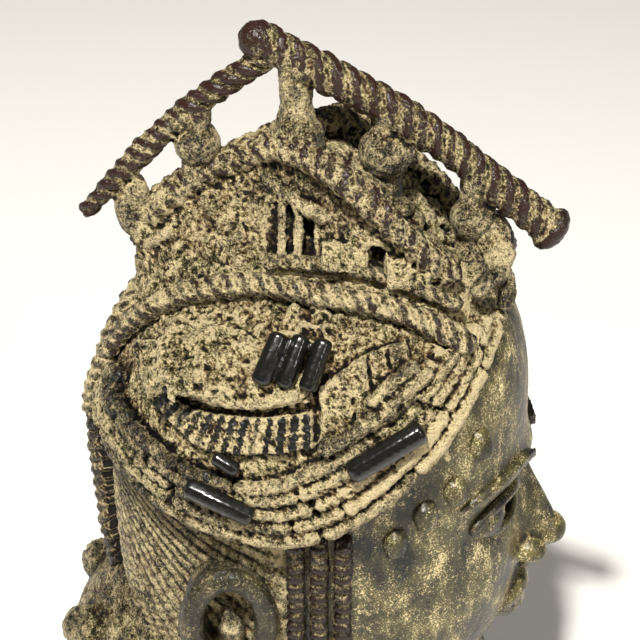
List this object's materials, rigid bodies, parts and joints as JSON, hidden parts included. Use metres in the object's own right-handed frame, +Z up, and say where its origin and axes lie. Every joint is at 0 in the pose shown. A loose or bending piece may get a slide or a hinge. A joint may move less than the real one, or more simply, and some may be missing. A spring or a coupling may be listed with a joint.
{
  "type": "bronze head sculpture",
  "caption": "Cast bronze head with a plaited cap and a tall roped crest under a gable of two twisted rods, on a flared collar cut flat below.",
  "frame": {"origin": "middle of the flat underside", "axes": "+Z up; the face looks along -Y; -X is the head's right side"},
  "size_m": [0.1983, 0.2475, 0.4267],
  "materials": {
    "bronze": "dark worn bronze with a pale yellow crust in its hollows"
  },
  "bodies": {
    "root": {"bronze_head": "bronze"}
  },
  "joints": []
}
